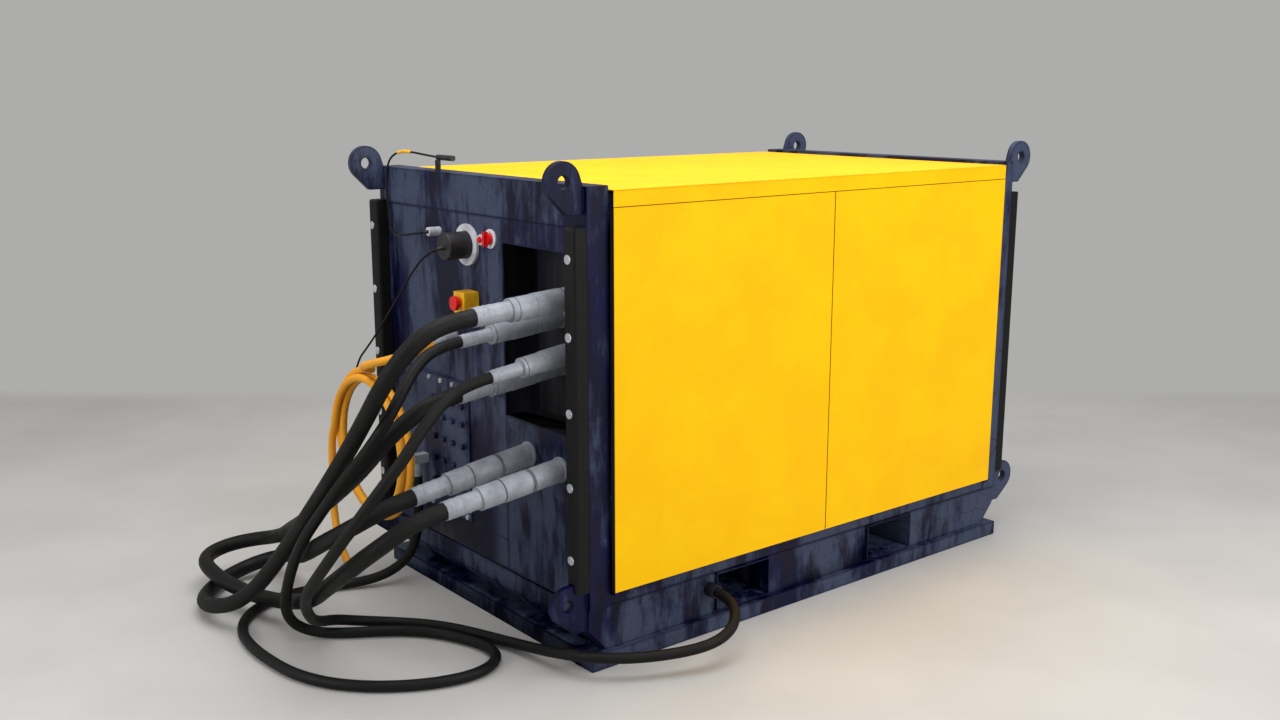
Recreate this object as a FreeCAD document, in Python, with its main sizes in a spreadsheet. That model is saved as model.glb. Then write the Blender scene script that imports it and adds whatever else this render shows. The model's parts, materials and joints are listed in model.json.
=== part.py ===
import FreeCAD, Part
import math
import os
import re
import Sketcher
from FreeCAD import Placement, Rotation, Vector

# Hydraulic power unit in a lifting frame.
# Frame: +Z up, origin at the centre of the skid's underside, X along the long
# sides (-X is the hose connection end), -Y is the front long side.

os.makedirs("parts", exist_ok=True)
doc = FreeCAD.newDocument("HydraulicPowerUnit")

# ---------------------------------------------------------------- sizes (mm)
SIZES = {
    "frame_height": 1900, "half_length": 1288, "half_width": 800,
    "post_side": 100, "post_wall": 6,
    "skid_height": 68, "skid_half_width": 813, "beam_top": 250,
    "beam_half_width": 790, "rake_height": 165, "rake_half_length": 1203,
    "pocket_centre": 472.5, "pocket_width": 295, "pocket_low": 85,
    "pocket_high": 245, "pocket_wall": 5, "pocket_half_run": 805,
    "deck_thick": 6, "end_beam_low": 1740,
    "sill_top": 308, "upper_rail_low": 1740, "upper_rail_high": 1878,
    "rail_half_width": 799, "rail_depth": 60, "mullion_width": 80,
    "eye_thick": 30, "eye_centre_y": 764, "eye_hole_x": 1375,
    "eye_hole_radius": 25, "eye_round": 77,
    "upper_eye_z": 1916, "lower_eye_z": 289,
    "fender_width": 72, "fender_depth": 62, "fender_low": 331,
    "fender_high": 1750, "fender_notch": 40, "bolt_head_radius": 18,
    "panel_thick": 6, "panel_face": 1288, "strip_low_y": -226,
    "strip_high_y": 175, "manifold_low_y": 60, "manifold_high_y": 510, "manifold_low_z": 385,
    "manifold_high_z": 985, "side_panel_top": 930, "coupling_window_top": 1640,
    "bulkhead_x": 1120, "bulkhead_thick": 12,
    "door_face": 830, "door_thick": 24, "door_skin": 3, "door_half_gap": 2,
    "door_end": 1187, "door_low": 314, "door_high": 1818,
    "pivot_x": 1175, "pivot_y": 818, "pivot_radius": 6, "pivot_bore": 6.05,
    "pivot_length": 12, "pivot_block": 24,
    "lid_low": 1820, "lid_high": 1885, "lid_skin": 4,
    "big_hose": 66, "small_hose": 44, "yellow_hose": 36, "thin_cable": 9,
    "coil_radius": 330, "coil_half_width": 40, "coil_x": -1500,
    "coil_y": 575, "coil_z": 660,
    "motor_x": -110, "motor_y": -150, "motor_z": 650, "motor_radius": 215,
    "motor_half_length": 300, "shaft_radius": 30, "shaft_bore": 30.05,
    "tank_low_x": 420, "tank_high_x": 1010, "tank_half_y": 560,
    "tank_high_z": 862, "tank_wall": 5,
    "fan_radius": 320, "cooler_x": 1100, "cooler_z": 1300,
    "collar_travel": 12,
    "socket_y": 35, "socket_z": 1610, "socket_radius": 57, "socket_ring_radius": 87,
    "socket_length": 118, "isolator_y": -146, "isolator_z": 1650,
    "reset_y": -75, "reset_z": 1640, "reset_radius": 13.5, "reset_hole": 13.8,
    "estop_y": 2, "estop_z": 1375, "estop_depth": 72, "estop_stem": 16,
    "estop_bore": 16.3, "plug_y": 275, "plug_z": 1646,
    "bracket_y": 350, "bracket_width": 40, "bracket_height": 43, "bar_radius": 12,
    "valve_x": -830, "valve_y": -300, "valve_low": 1040, "valve_top": 1200,
    "valve_half_length": 110, "valve_half_width": 120, "lever_radius": 8,
    "lever_bore": 8.05, "lever_length": 140,
    "cabinet_x": -800, "cabinet_y": 420, "cabinet_low": 1000, "cabinet_high": 1700,
    "cabinet_half_x": 150, "cabinet_half_y": 240,
    "cap_x": 560, "cap_y": -420, "filter_y": 380, "cooler_half": 350,
    "elbow_x": -1345, "elbow_y": 440, "elbow_z": 520,
}

sheet = doc.addObject("Spreadsheet::Sheet", "Sizes")
for row, (alias, value) in enumerate(SIZES.items(), start=1):
    sheet.set(f"A{row}", alias)
    sheet.set(f"B{row}", str(value))
    sheet.setAlias(f"B{row}", alias)
doc.recompute()


def size(alias):
    """A driving dimension read back from the sheet."""
    return float(getattr(sheet, alias))


def bound(text):
    """Point each alias in an expression at the sheet."""
    return re.sub(r"\b([a-z]+_[a-z_]+)\b", r"Sizes.\1", str(text))


def place(piece, x, y, z):
    piece.setExpression("Placement.Base.x", bound(x))
    piece.setExpression("Placement.Base.y", bound(y))
    piece.setExpression("Placement.Base.z", bound(z))


def box(x0, x1, y0, y1, z0, z1):
    """A box between two corners, each given as an expression."""
    piece = doc.addObject("Part::Box", "Plate")
    piece.setExpression("Length", bound(f"({x1}) - ({x0})"))
    piece.setExpression("Width", bound(f"({y1}) - ({y0})"))
    piece.setExpression("Height", bound(f"({z1}) - ({z0})"))
    place(piece, x0, y0, z0)
    return piece


TURNS = {
    "+X": Rotation(Vector(0, 1, 0), 90), "-X": Rotation(Vector(0, 1, 0), -90),
    "+Y": Rotation(Vector(1, 0, 0), -90), "-Y": Rotation(Vector(1, 0, 0), 90),
    "+Z": Rotation(), "-Z": Rotation(Vector(1, 0, 0), 180),
}


def rod(radius, length, x, y, z, way="+Z"):
    """A cylinder that starts at a point and runs the way given."""
    piece = doc.addObject("Part::Cylinder", "Rod")
    piece.setExpression("Radius", bound(radius))
    piece.setExpression("Height", bound(length))
    piece.Placement = Placement(Vector(), TURNS[way])
    place(piece, x, y, z)
    return piece


def group(label, pieces):
    """Separate solids that share one node."""
    whole = doc.addObject("Part::Compound", "Group")
    whole.Links = pieces
    whole.Label = label
    return whole


def cut(base, tool):
    whole = doc.addObject("Part::Cut", "Cut")
    whole.Base = base
    whole.Tool = tool
    return whole


def fuse(*pieces):
    whole = doc.addObject("Part::MultiFuse", "Fuse")
    whole.Shapes = list(pieces)
    return whole


def shaped(shape, placement=None):
    """A piece whose shape is made with Part's own functions."""
    piece = doc.addObject("Part::Feature", "Shaped")
    piece.Shape = shape
    if placement:
        piece.Placement = placement
    return piece


NODES = []


def node(label, *pieces):
    """The finished sub-part: one feature, named after its file."""
    whole = pieces[0] if len(pieces) == 1 else group(label, list(pieces))
    whole.Label = label
    NODES.append(whole)
    return whole


def plane_of(body, role):
    """One of the body's own origin planes."""
    for feature in body.Origin.OriginFeatures:
        if feature.Role == role:
            return feature
    raise ValueError(role)


def sketch_on(body, role, name):
    sketch = body.newObject("Sketcher::SketchObject", name)
    sketch.AttachmentSupport = [(plane_of(body, role), "")]
    sketch.MapMode = "FlatFace"
    return sketch


def rectangle(sketch, width, height, x0, y0):
    """A sketched rectangle: width and height are expressions."""
    corners = [Vector(0, 0, 0), Vector(10, 0, 0), Vector(10, 10, 0), Vector(0, 10, 0)]
    for start, end in zip(corners, corners[1:] + corners[:1]):
        sketch.addGeometry(Part.LineSegment(start, end), False)
    for line in range(4):
        sketch.addConstraint(Sketcher.Constraint("Coincident", line, 2, (line + 1) % 4, 1))
    for line, way in enumerate(("Horizontal", "Vertical") * 2):
        sketch.addConstraint(Sketcher.Constraint(way, line))
    named = (("wide", "DistanceX", 0, 1, 0, 2, width), ("tall", "DistanceY", 1, 1, 1, 2, height),
             ("left", "DistanceX", -1, 1, 0, 1, x0), ("low", "DistanceY", -1, 1, 0, 1, y0))
    for label, kind, one, end_one, other, end_other, expression in named:
        index = sketch.addConstraint(
            Sketcher.Constraint(kind, one, end_one, other, end_other, 10))
        sketch.renameConstraint(index, label)
        sketch.setExpression(f"Constraints.{label}", bound(expression))


# --------------------------------------------------------------- the skid
def skid_frame():
    sides = [box("-half_length", "half_length", low, high, "0", "skid_height")
             for low, high in (("-skid_half_width", "-half_width + post_side"),
                               ("half_width - post_side", "skid_half_width"))]
    ends = [box(low, high, "-half_width + post_side", "half_width - post_side",
                "0", "skid_height")
            for low, high in (("-half_length", "-half_length + post_side"),
                              ("half_length - post_side", "half_length"))]
    node("skid_frame", *sides, *ends)


def raked_beam(inner_x, side, y0, y1):
    """A base beam whose outer end leans in towards the skid."""
    low, top = size("skid_height"), size("beam_top")
    outline = [(inner_x, low), (size("rake_half_length"), low),
               (size("half_length"), size("rake_height")),
               (size("half_length"), top), (inner_x, top)]
    points = [Vector(side * x, y0, z) for x, z in outline]
    face = Part.Face(Part.makePolygon(points + points[:1]))
    return shaped(face.extrude(Vector(0, y1 - y0, 0)))


def base_beams():
    post = size("half_width") - size("post_side")
    face = size("beam_half_width")
    pocket_end = size("pocket_centre") + size("pocket_width") / 2 + size("pocket_wall")
    beams = []
    for side in (-1, 1):
        for y0, y1 in ((-face, -post), (post, face)):
            beams.append(raked_beam(pocket_end, side, y0, y1))
        beams.append(raked_beam(size("half_length") - size("post_side"), side, -post, post))
    outer = "pocket_centre + pocket_width / 2 + pocket_wall"
    inner = "pocket_centre - pocket_width / 2 - pocket_wall"
    for low, high in (("-beam_half_width", "-half_width + post_side"),
                      ("half_width - post_side", "beam_half_width")):
        beams.append(box(f"-({inner})", inner, low, high, "skid_height", "beam_top"))
        for x0, x1 in ((f"-({outer})", f"-({inner})"), (inner, outer)):
            beams.append(box(x0, x1, low, high, "skid_height", "pocket_low - pocket_wall"))
    node("base_beams", *beams)


def fork_pockets():
    plates = []
    run = ("-pocket_half_run", "pocket_half_run")
    for side in (-1, 1):
        centre = f"{side} * pocket_centre"
        left, right = f"{centre} - pocket_width / 2", f"{centre} + pocket_width / 2"
        wide = (f"{left} - pocket_wall", f"{right} + pocket_wall")
        plates.append(box(*wide, *run, "pocket_low - pocket_wall", "pocket_low"))
        plates.append(box(*wide, *run, "pocket_high", "pocket_high + pocket_wall"))
        plates.append(box(wide[0], left, *run, "pocket_low", "pocket_high"))
        plates.append(box(right, wide[1], *run, "pocket_low", "pocket_high"))
    node("fork_pockets", *plates)


def deck_plate():
    node("deck_plate", box("-half_length + post_side", "half_length - post_side",
                           "-half_width + post_side", "half_width - post_side",
                           "beam_top", "beam_top + deck_thick"))


# ------------------------------------------------------------- upper frame
def corner_posts():
    posts = []
    for x0 in ("-half_length", "half_length - post_side"):
        for y0 in ("-half_width", "half_width - post_side"):
            outer = box(x0, f"{x0} + post_side", y0, f"{y0} + post_side",
                        "beam_top", "frame_height")
            inner = box(f"{x0} + post_wall", f"{x0} + post_side - post_wall",
                        f"{y0} + post_wall", f"{y0} + post_side - post_wall",
                        "beam_top - 1", "frame_height - post_wall")
            posts.append(cut(outer, inner))
    node("corner_posts", *posts)


def end_beams():
    beams = [box(x0, x1, "-half_width + post_side", "half_width - post_side",
                 "end_beam_low", "frame_height")
             for x0, x1 in (("-half_length", "-half_length + post_side"),
                            ("half_length - post_side", "half_length"))]
    node("end_beams", *beams)


def side_rails():
    """Upper rail, sill and middle upright of each long side."""
    rails = []
    run = ("-half_length + post_side", "half_length - post_side")
    for low, high in (("-rail_half_width", "-rail_half_width + rail_depth"),
                      ("rail_half_width - rail_depth", "rail_half_width")):
        rails.append(box(*run, low, high, "beam_top + deck_thick", "sill_top"))
        rails.append(box(*run, low, high, "upper_rail_low", "upper_rail_high"))
        rails.append(box("-mullion_width / 2", "mullion_width / 2", low, high,
                         "sill_top", "upper_rail_low"))
    node("side_rails", *rails)


def padeye(corner_x, low_z, high_z, hole_z):
    """A lifting plate: a round eye blended into the corner post by straight edges."""
    body = doc.addObject("PartDesign::Body", "Padeye")
    sketch = sketch_on(body, "XZ_Plane", "EyeOutline")
    post = size("half_length")
    eye, reach = Vector(size("eye_hole_x"), hole_z, 0), size("eye_round")

    def touch(corner, side):
        """Where a line from the corner just touches the round."""
        away = corner - eye
        lean = math.acos(reach / away.Length) * side
        along = away.normalize() * reach
        return eye + Vector(along.x * math.cos(lean) - along.y * math.sin(lean),
                            along.x * math.sin(lean) + along.y * math.cos(lean), 0)

    foot = Vector(post, low_z, 0)
    toe = Vector(corner_x, low_z, 0)
    head = Vector(post, high_z, 0)
    low_touch, high_touch = touch(toe, 1), touch(head, -1)
    far = eye + ((low_touch - eye) + (high_touch - eye)).normalize() * reach
    if far.x < eye.x:
        far = eye - (far - eye)
    for start, end in ((head, foot), (foot, toe), (toe, low_touch)):
        sketch.addGeometry(Part.LineSegment(start, end), False)
    sketch.addGeometry(Part.Arc(low_touch, far, high_touch), False)
    sketch.addGeometry(Part.LineSegment(high_touch, head), False)
    hole = sketch.addGeometry(Part.Circle(eye, Vector(0, 0, 1), size("eye_hole_radius")), False)
    index = sketch.addConstraint(Sketcher.Constraint("Radius", hole, size("eye_hole_radius")))
    sketch.renameConstraint(index, "hole")
    sketch.setExpression("Constraints.hole", bound("eye_hole_radius"))
    pad = body.newObject("PartDesign::Pad", "Plate")
    pad.Profile = sketch
    pad.setExpression("Length", bound("eye_thick"))
    pad.Midplane = True
    return body


def corner_copies(body):
    """The same plate at the four corners, mirrored for the two ends."""
    copies = []
    for x_side in (1, -1):
        for y_side in (-1, 1):
            turn = Rotation() if x_side == 1 else Rotation(Vector(0, 0, 1), 180)
            copy = doc.addObject("Part::Compound", "Corner")
            copy.Links = [body]
            copy.Placement = Placement(Vector(), turn)
            copy.setExpression("Placement.Base.y", bound(f"{y_side} * eye_centre_y"))
            copies.append(copy)
    return copies


def padeyes():
    node("upper_padeyes", *corner_copies(padeye(1362, 1796, 1899, size("upper_eye_z"))))
    node("lower_padeyes", *corner_copies(padeye(1347, 168, 366, size("lower_eye_z"))))


FENDER_BOLTS = (468, 759, 1050, 1342, 1634)


def corner_fenders():
    """Rubber strips with rounded noses on the end faces of the posts."""
    fenders, bolts = [], []
    width, depth = size("fender_width"), size("fender_depth")
    low, high = size("fender_low"), size("fender_high")
    for side in (-1, 1):
        for y_side in (-1, 1):
            root = size("half_length")
            bar = Part.makeBox(depth, width, high - low, Vector(root, -width / 2, low))
            nose = [edge for edge in bar.Edges
                    if all(abs(v.X - root - depth) < 1 for v in edge.Vertexes)]
            bar = bar.makeFillet(18, nose)
            slot = size("eye_thick") + 2
            bar = bar.cut(Part.makeBox(depth, slot, size("fender_notch"),
                                       Vector(root, -slot / 2, low)))
            turn = Rotation() if side == 1 else Rotation(Vector(0, 0, 1), 180)
            fenders.append(shaped(bar, Placement(
                Vector(0, y_side * size("eye_centre_y"), 0), turn)))
            for height in FENDER_BOLTS:
                start = f"{side} * (half_length + fender_depth)"
                bolts.append(rod("bolt_head_radius", "5", start,
                                 f"{y_side} * eye_centre_y", height,
                                 "+X" if side == 1 else "-X"))
    node("corner_fenders", *fenders)
    node("fender_bolts", *bolts)


# ---------------------------------------------------------- the end panels
def connection_end():
    """Panels of the connection end, behind the frame's outer face."""
    face, back = "-panel_face", "-panel_face + panel_thick"
    strip = box(face, back, "strip_low_y", "strip_high_y", "manifold_high_z + 20", "end_beam_low")
    reset_hole = rod("reset_hole", "3 * panel_thick", "-panel_face + 2 * panel_thick",
                     "reset_y", "reset_z", "-X")
    node("control_panel", cut(strip, reset_hole))
    node("side_panels",
         box(face, back, "-half_width + post_side", "strip_low_y",
             "coupling_window_top", "end_beam_low"),
         box(face, back, "-half_width + post_side", "strip_low_y",
             "beam_top + deck_thick", "side_panel_top"),
         box(face, back, "strip_low_y", "manifold_low_y", "beam_top + deck_thick",
             "manifold_low_z"),
         box(face, back, "manifold_low_y", "half_width - post_side",
             "beam_top + deck_thick", "manifold_low_z"),
         box(face, back, "strip_low_y", "manifold_low_y", "manifold_low_z", "manifold_high_z + 20"),
         box(face, back, "manifold_high_y", "half_width - post_side",
             "manifold_low_z", "manifold_high_z + 20"),
         box(back, "-panel_face + 2 * panel_thick", "strip_high_y - 10",
             "half_width - post_side", "manifold_high_z + 20", "end_beam_low"))
    node("manifold_panel",
         box("-panel_face - panel_thick", "-panel_face + 26", "manifold_low_y", "manifold_high_y",
             "manifold_low_z", "manifold_high_z + 20"))
    outer_y, inner_y = "-half_width + post_side", "strip_low_y"
    low, high = "side_panel_top", "coupling_window_top"
    node("coupling_bulkhead",
         box("-bulkhead_x", "-bulkhead_x + bulkhead_thick", outer_y, inner_y, low, high),
         box(back, "-bulkhead_x", inner_y, "strip_low_y + panel_thick", low, high),
         box("-panel_face + post_side", "-bulkhead_x", outer_y, "-half_width + post_side + 6",
             low, high),
         box(back, "-bulkhead_x", outer_y, inner_y, "side_panel_top - panel_thick", low),
         box(back, "-bulkhead_x", outer_y, inner_y, high, "coupling_window_top + panel_thick"))


def manifold_fittings():
    """Bolt heads along the manifold panel's top and bottom, and rows of port plugs between."""
    face = "-panel_face - panel_thick"
    bolt_columns = (85, 185, 285, 385, 485)
    plug_columns = (110, 190, 270, 350)
    plug_rows = (520, 620, 720, 820, 900)
    bolts = [rod("11", "9", face, y, z, "-X")
             for z in ("manifold_high_z", "manifold_low_z + 20") for y in bolt_columns]
    plugs = [rod("14", "16", face, y, z, "-X") for z in plug_rows for y in plug_columns]
    node("manifold_fittings", *bolts, *plugs)


def rear_end_panel():
    """Louvred cooler panel of the far end."""
    frame = "half_length - panel_thick"
    pieces = [box(frame, "half_length", "-half_width + post_side", "half_width - post_side",
                  "beam_top + deck_thick", "900"),
              box(frame, "half_length", "-half_width + post_side", "half_width - post_side",
                  "1700", "end_beam_low"),
              box(frame, "half_length", "-half_width + post_side", "-380", "900", "1700"),
              box(frame, "half_length", "380", "half_width - post_side", "900", "1700")]
    for step in range(15):
        blade = doc.addObject("Part::Box", "Louvre")
        blade.Length = 34
        blade.Width = 760
        blade.Height = 3
        blade.Placement = Placement(Vector(size("half_length") - 36, -380, 935 + 52 * step),
                                    Rotation(Vector(0, 1, 0), 30))
        pieces.append(blade)
    node("rear_end_panel", *pieces)


# ------------------------------------------------------------ lid and doors
def roof_lid():
    top = box("-door_end", "door_end", "-door_face", "door_face",
              "lid_high - lid_skin", "lid_high")
    skirts = [box("-door_end", "door_end", low, high, "lid_low", "lid_high - lid_skin")
              for low, high in (("-door_face", "-door_face + lid_skin"),
                                ("door_face - lid_skin", "door_face"))]
    node("roof_lid", top, *skirts)


def door(label, x_side, y_side):
    """A folded steel pan that turns on pins at its outer edge."""
    body = doc.addObject("PartDesign::Body", "Door")
    outline = sketch_on(body, "XZ_Plane", "DoorOutline")
    rectangle(outline, "door_end - door_half_gap", "door_high - door_low", "0", "0")
    pad = body.newObject("PartDesign::Pad", "Pan")
    pad.Profile = outline
    pad.setExpression("Length", bound("door_thick"))
    recess = sketch_on(body, "XZ_Plane", "Recess")
    rectangle(recess, "door_end - door_half_gap - 2 * pivot_block",
              "door_high - door_low - 2 * pivot_block", "pivot_block", "pivot_block")
    pocket = body.newObject("PartDesign::Pocket", "Hollow")
    pocket.Profile = recess
    pocket.setExpression("Length", bound("door_thick - door_skin"))
    pocket.Reversed = True
    body.Tip = pocket
    x0 = "door_half_gap" if x_side == 1 else "-door_end"
    if y_side == -1:
        body.Placement = Placement(Vector(), Rotation())
        place(body, x0, "-door_face + door_thick", "door_low")
    else:
        body.Placement = Placement(Vector(), Rotation(Vector(0, 0, 1), 180))
        x1 = "door_end" if x_side == 1 else "-door_half_gap"
        place(body, x1, "door_face - door_thick", "door_low")
    pins = [rod("pivot_radius", "pivot_length + 4", f"{x_side} * pivot_x",
                f"{y_side} * pivot_y", "door_high - 4", "+Z"),
            rod("pivot_radius", "pivot_length + 4", f"{x_side} * pivot_x",
                f"{y_side} * pivot_y", "door_low + 4", "-Z")]
    node(label, fuse(body, *pins))


def doors():
    for x_name, x_side in (("left", -1), ("right", 1)):
        for y_name, y_side in (("front", -1), ("rear", 1)):
            door(f"{y_name}_door_{x_name}", x_side, y_side)


def door_pivots():
    """Small bored blocks above and below each door's pins."""
    blocks = []
    for x_side in (-1, 1):
        for y_side in (-1, 1):
            inner, outer = sorted((y_side * (size("rail_half_width")),
                                   y_side * (size("door_face") - size("lid_skin"))))
            for z0, z1 in (("lid_low", "lid_low + pivot_length"),
                           ("door_low - pivot_length - 2", "door_low - 2")):
                block = box(f"{x_side} * pivot_x - 11", f"{x_side} * pivot_x + 11",
                            inner, outer, z0, z1)
                bore = rod("pivot_bore", "3 * pivot_length", f"{x_side} * pivot_x",
                           f"{y_side} * pivot_y", f"{z0} - pivot_length")
                blocks.append(cut(block, bore))
    node("door_pivots", *blocks)


# ------------------------------------------------------- control panel parts
def panel_controls():
    """Socket, isolator, reset button, emergency stop and the beacon's cable fittings."""
    face = "-panel_face"
    socket = (face, "socket_y", "socket_z", "-X")
    isolator = (face, "isolator_y", "isolator_z", "-X")
    reset = (face, "reset_y", "reset_z", "-X")
    ring = cut(rod("socket_ring_radius", "14", *socket), rod("socket_radius + 1", "40", *socket))
    isolator_plate = cut(rod("40", "8", *isolator), rod("24", "20", *isolator))
    reset_collar = cut(rod("22", "10", *reset), rod("reset_radius + 0.5", "24", *reset))
    node("panel_rings", ring, isolator_plate, reset_collar)
    node("socket_plug", rod("socket_radius", "socket_length", *socket))
    node("reset_button", rod("reset_radius", "16", *reset))
    grip_half_width, grip_half_height = 7, 30
    knob = fuse(rod("23.5", "26", *isolator),
                box("-panel_face - 40", "-panel_face - 20", f"isolator_y - {grip_half_width}",
                    f"isolator_y + {grip_half_width}", f"isolator_z - {grip_half_height}",
                    f"isolator_z + {grip_half_height}"))
    node("isolator_knob", knob)
    body = box("-panel_face - estop_depth", face, "estop_y - 42", "estop_y + 42",
               "estop_z - 45", "estop_z + 45")
    bore = rod("estop_bore", "40", "-panel_face - estop_depth + 28", "estop_y", "estop_z", "-X")
    node("estop_box", cut(body, bore))
    stem = rod("estop_stem", "26", "-panel_face - estop_depth + 14", "estop_y", "estop_z", "-X")
    cap = rod("30", "18", "-panel_face - estop_depth - 12", "estop_y", "estop_z", "-X")
    node("estop_button", fuse(stem, cap))
    node("cable_plug", rod("19", "60", "-panel_face + panel_thick", "plug_y", "plug_z", "-X"))
    tab = box("-panel_face + 47", "-panel_face + 53", "bracket_y - bracket_width / 2",
              "bracket_y + bracket_width / 2", "frame_height", "frame_height + bracket_height")
    bar = rod("bar_radius", "130", "-panel_face + 50", "bracket_y",
              "frame_height + bracket_height + bar_radius", "-Y")
    node("cable_bracket", tab, bar)


# ---------------------------------------------------------------- couplings
# name, y, fixed end x and z, hose end x and z, hose size
COUPLINGS = (
    (1, -614, -1120, 1467, -1668, 1433, "big_hose"),
    (2, -395, -1120, 1343, -1595, 1301, "small_hose"),
    (3, -614, -1120, 1263, -1602, 1200, "small_hose"),
    (4, -395, -1120, 1155, -1610, 1095, "big_hose"),
    (5, -395, -1288, 802, -1822, 725, "big_hose"),
    (6, -614, -1288, 787, -1815, 726, "big_hose"),
)


def coupling_frame(y, x0, z0, x1, z1):
    """Start, unit direction and length of a coupling's axis."""
    start = Vector(x0, y, z0)
    way = Vector(x1, y, z1) - start
    length = way.Length
    return start, way.normalize(), length


def turned(start, way, *steps):
    """Coaxial discs fused: each step is a distance in, a distance out and a radius."""
    shape = None
    for near, far, radius in steps:
        disc = Part.makeCylinder(radius, far - near, start + way * near, way)
        shape = disc if shape is None else shape.fuse(disc)
    return shape.removeSplitter()


def couplings():
    bodies, ferrules = [], []
    for number, y, x0, z0, x1, z1, hose in COUPLINGS:
        start, way, length = coupling_frame(y, x0, z0, x1, z1)
        bore = size(hose) / 2
        slim = bore < 30
        wide = 40 if slim else 47
        core = 27 if slim else 36
        half = length * 0.28
        sleeve_end = length * 0.53
        collar_end = length * 0.72
        travel = size("collar_travel")
        flange = Part.makeCylinder(wide + 4, 12, start, Vector(-1, 0, 0))
        body = turned(start, way, (8, half, wide), (half, sleeve_end, core))
        bodies.append(shaped(body.fuse(flange)))
        sleeve = turned(start, way, (half + travel + 1, sleeve_end - 1, wide + 1))
        hollow = Part.makeCylinder(core + 0.3, length, start, way)
        node(f"coupling_collar_{number}", shaped(sleeve.cut(hollow)))
        ferrules.append(shaped(turned(start, way, (sleeve_end, collar_end, wide - 1),
                                      (collar_end, length, bore + 4))))
    node("coupling_bodies", *bodies)
    start = Vector(-size("panel_face"), 160, 1205)
    way = Vector(-0.97, 0, -0.24).normalize()
    flange = Part.makeCylinder(27, 12, start, Vector(-1, 0, 0))
    ferrules.append(shaped(turned(start, way, (8, 60, 24), (60, 115, 19)).fuse(flange)))
    ferrules.append(rod("22", "60", "elbow_x", "elbow_y", "elbow_z"))
    ferrules.append(box("elbow_x - 22", "-panel_face - panel_thick", "elbow_y - 22", "elbow_y + 22",
                        "elbow_z + 60", "elbow_z + 100"))
    ferrules.append(rod("19.5", "40", "-1555", "640", "20", "-Y"))
    ferrules.append(rod("30", "50", "-659", "-beam_half_width", "187", "-Y"))
    node("hose_fittings", *ferrules)


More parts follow.
